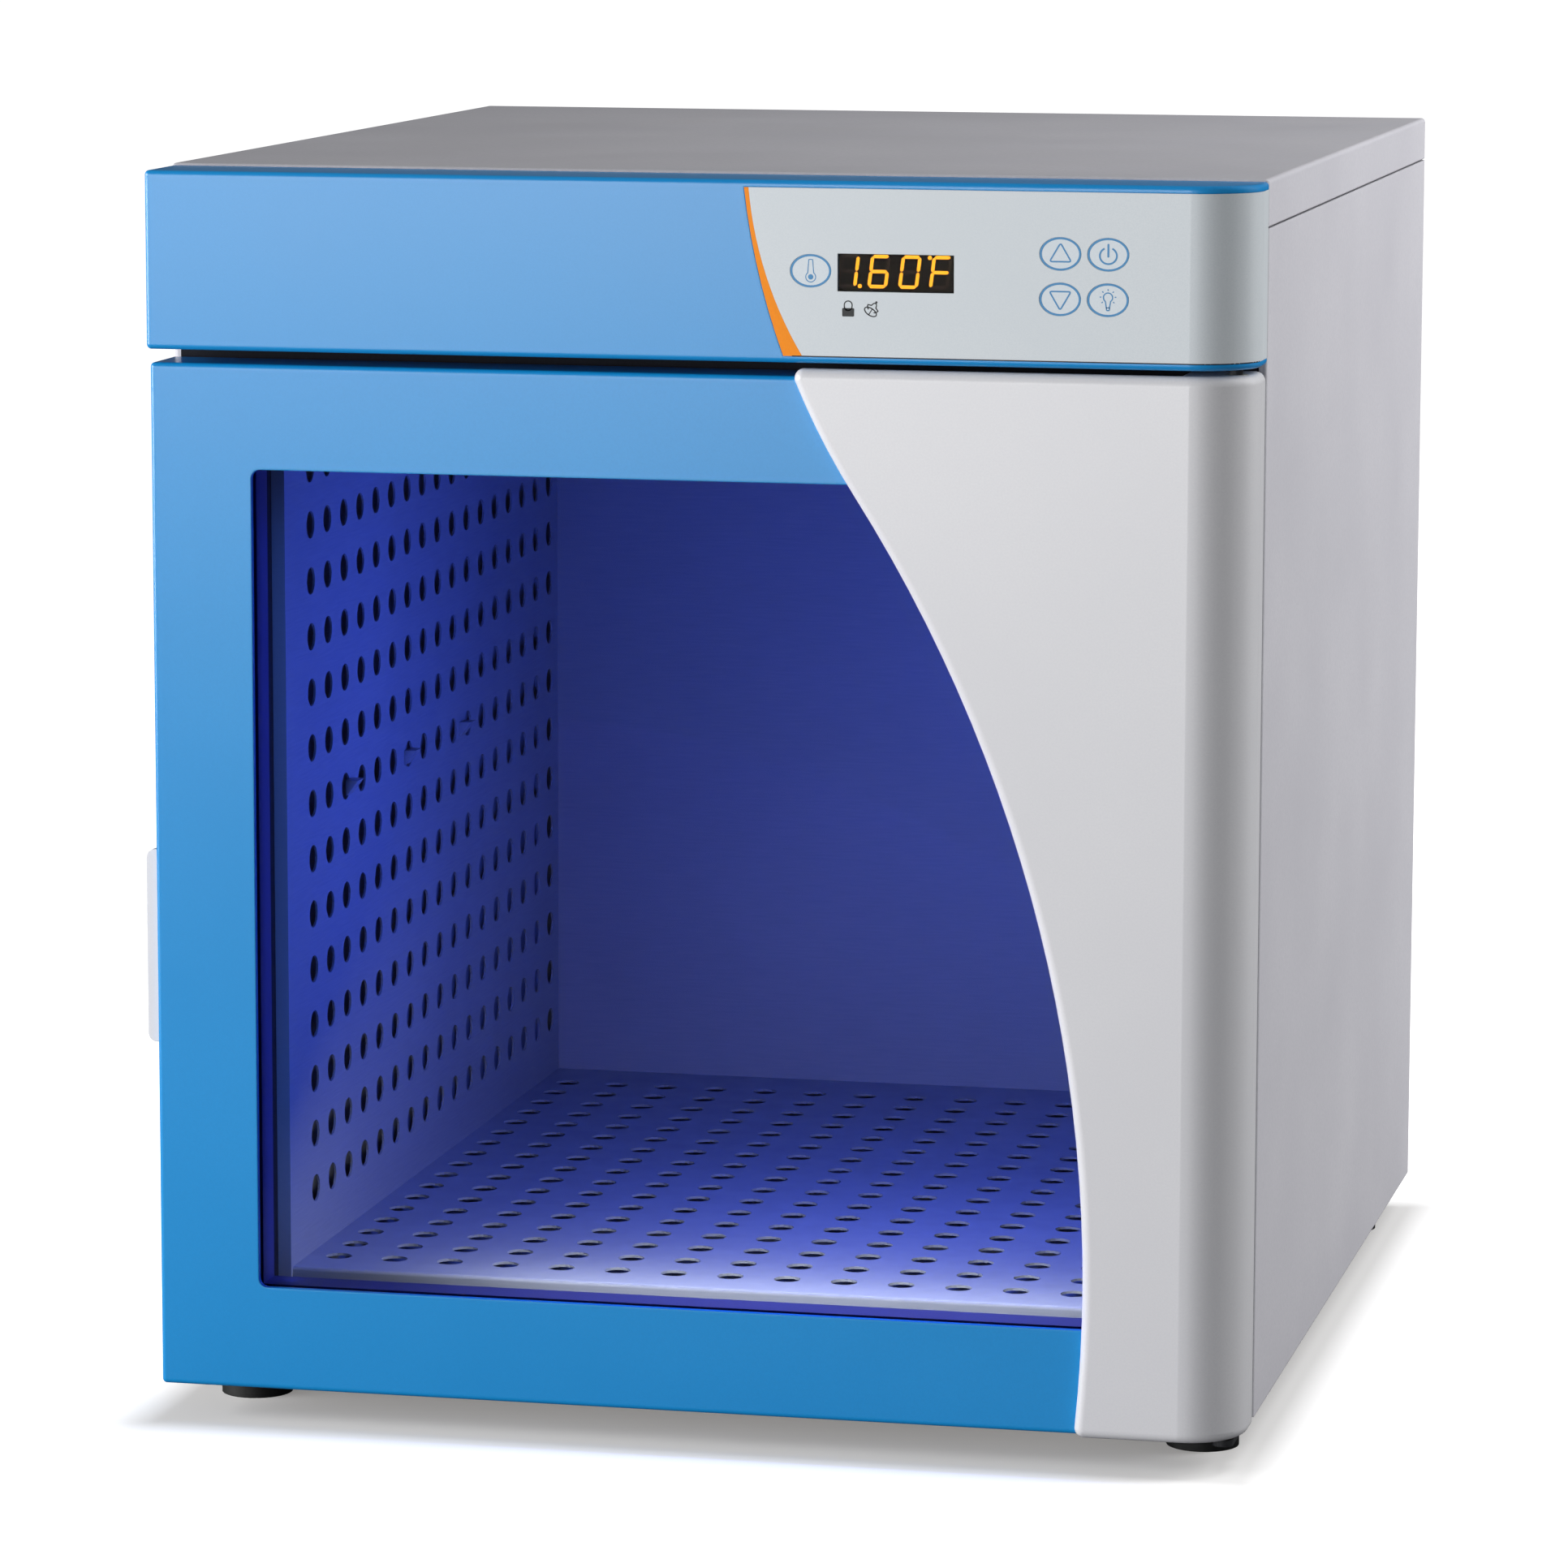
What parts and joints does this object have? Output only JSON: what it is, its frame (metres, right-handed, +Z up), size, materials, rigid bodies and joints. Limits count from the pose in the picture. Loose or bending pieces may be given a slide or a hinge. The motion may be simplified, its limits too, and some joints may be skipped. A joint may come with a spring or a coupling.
{
  "type": "blanket warming cabinet",
  "caption": "Countertop warming cabinet for blankets with a glazed, right-hinged door, a perforated lit chamber and a header with display and keys.",
  "frame": {"origin": "on the table top, under the middle of the case's width and of the overall depth", "axes": "+X to the right seen from the front, +Y towards the back, +Z up"},
  "size_m": [0.4906, 0.571, 0.556],
  "materials": {
    "case_white": "light grey-white powder coat, semi-gloss",
    "frame_black": "black powder coat, satin",
    "zinc_steel": "zinc-plated sheet",
    "liner_steel": "stainless liner sheet, satin, seen in blue light",
    "insulation_fibre": "mineral fibre pad",
    "heater_mat": "silicone heater mat",
    "foot_rubber": "black rubber",
    "screw_steel": "bright zinc",
    "door_blue": "blue moulded plastic, satin gloss",
    "panel_white": "white moulded plastic, gloss",
    "liner_dark": "dark navy moulding",
    "overlay_silver": "silver-grey overlay film",
    "accent_orange": "orange film",
    "key_silver": "silver-grey key with a blue printed ring and pictogram",
    "window_glass": "clear tempered glass",
    "display_smoke": "smoked window",
    "display_black": "black numeric display module",
    "board_green": "solder-masked circuit board",
    "component_black": "black moulded component",
    "supply_metal": "plain aluminium case",
    "relay_grey": "grey relay housing",
    "terminal_cream": "cream terminal moulding",
    "seal_black": "black sponge seal",
    "gasket_grey": "dark grey door gasket",
    "bush_nylon": "natural nylon",
    "hinge_black": "black painted steel",
    "magnet_dark": "magnet in a black case",
    "lens_frosted": "frosted lens",
    "probe_steel": "stainless sheath"
  },
  "bodies": {
    "cabinet": {"side_panel_left": "case_white", "side_panel_right": "case_white", "top_cover": "case_white", "rear_panel": "case_white", "front_frame": "frame_black", "top_rail_left": "zinc_steel", "top_rail_right": "zinc_steel", "base_pan": "zinc_steel", "bay_floor": "zinc_steel", "feet": "foot_rubber", "foot_screws": "screw_steel", "chamber_wall_left": "liner_steel", "chamber_wall_right": "liner_steel", "duct_tray_left": "liner_steel", "duct_tray_right": "liner_steel", "chamber_deck": "liner_steel", "chamber_ceiling": "liner_steel", "chamber_rear": "liner_steel", "chamber_bottom": "liner_steel", "insulation_left": "insulation_fibre", "insulation_right": "insulation_fibre", "insulation_top": "insulation_fibre", "insulation_rear": "insulation_fibre", "insulation_bottom": "insulation_fibre", "heater_left": "heater_mat", "heater_right": "heater_mat", "lamp_housing": "supply_metal", "lamp_lens": "lens_frosted", "temperature_probe": "probe_steel", "limit_thermostat": "component_black", "header": "door_blue", "control_overlay": "overlay_silver", "accent_band": "accent_orange", "display_window": "display_smoke", "display_module": "display_black", "control_board": "board_green", "key_switches": "component_black", "power_supply": "supply_metal", "heater_relay": "relay_grey", "terminal_block": "terminal_cream", "power_inlet": "component_black", "hinge_bracket_top": "hinge_black", "hinge_bracket_bottom": "hinge_black", "catch_magnet": "magnet_dark"},
    "door": {"door_shell": "door_blue", "door_liner": "liner_dark", "curved_panel": "panel_white", "hinge_bushes": "bush_nylon", "door_handle": "panel_white", "strike_plate": "zinc_steel", "window_glass": "window_glass", "glazing_seal": "seal_black", "door_gasket": "gasket_grey"},
    "key_temperature": {"key_temperature": "key_silver"},
    "key_up": {"key_up": "key_silver"},
    "key_power": {"key_power": "key_silver"},
    "key_down": {"key_down": "key_silver"},
    "key_light": {"key_light": "key_silver"}
  },
  "joints": [
    {"name": "door_hinge", "type": "hinge", "parent": "cabinet", "child": "door", "pos_m": [0.2325, -0.2665, 0.245], "axis": [0, 0, 1], "range_deg": [0, 115]},
    {"name": "key_temperature_press", "type": "slide", "parent": "cabinet", "child": "key_temperature", "axis": [0, 1, 0], "range_m": [0, 0.0004], "stiffness_N_per_m": 3000},
    {"name": "key_up_press", "type": "slide", "parent": "cabinet", "child": "key_up", "axis": [0, 1, 0], "range_m": [0, 0.0004], "stiffness_N_per_m": 3000},
    {"name": "key_power_press", "type": "slide", "parent": "cabinet", "child": "key_power", "axis": [0, 1, 0], "range_m": [0, 0.0004], "stiffness_N_per_m": 3000},
    {"name": "key_down_press", "type": "slide", "parent": "cabinet", "child": "key_down", "axis": [0, 1, 0], "range_m": [0, 0.0004], "stiffness_N_per_m": 3000},
    {"name": "key_light_press", "type": "slide", "parent": "cabinet", "child": "key_light", "axis": [0, 1, 0], "range_m": [0, 0.0004], "stiffness_N_per_m": 3000}
  ]
}
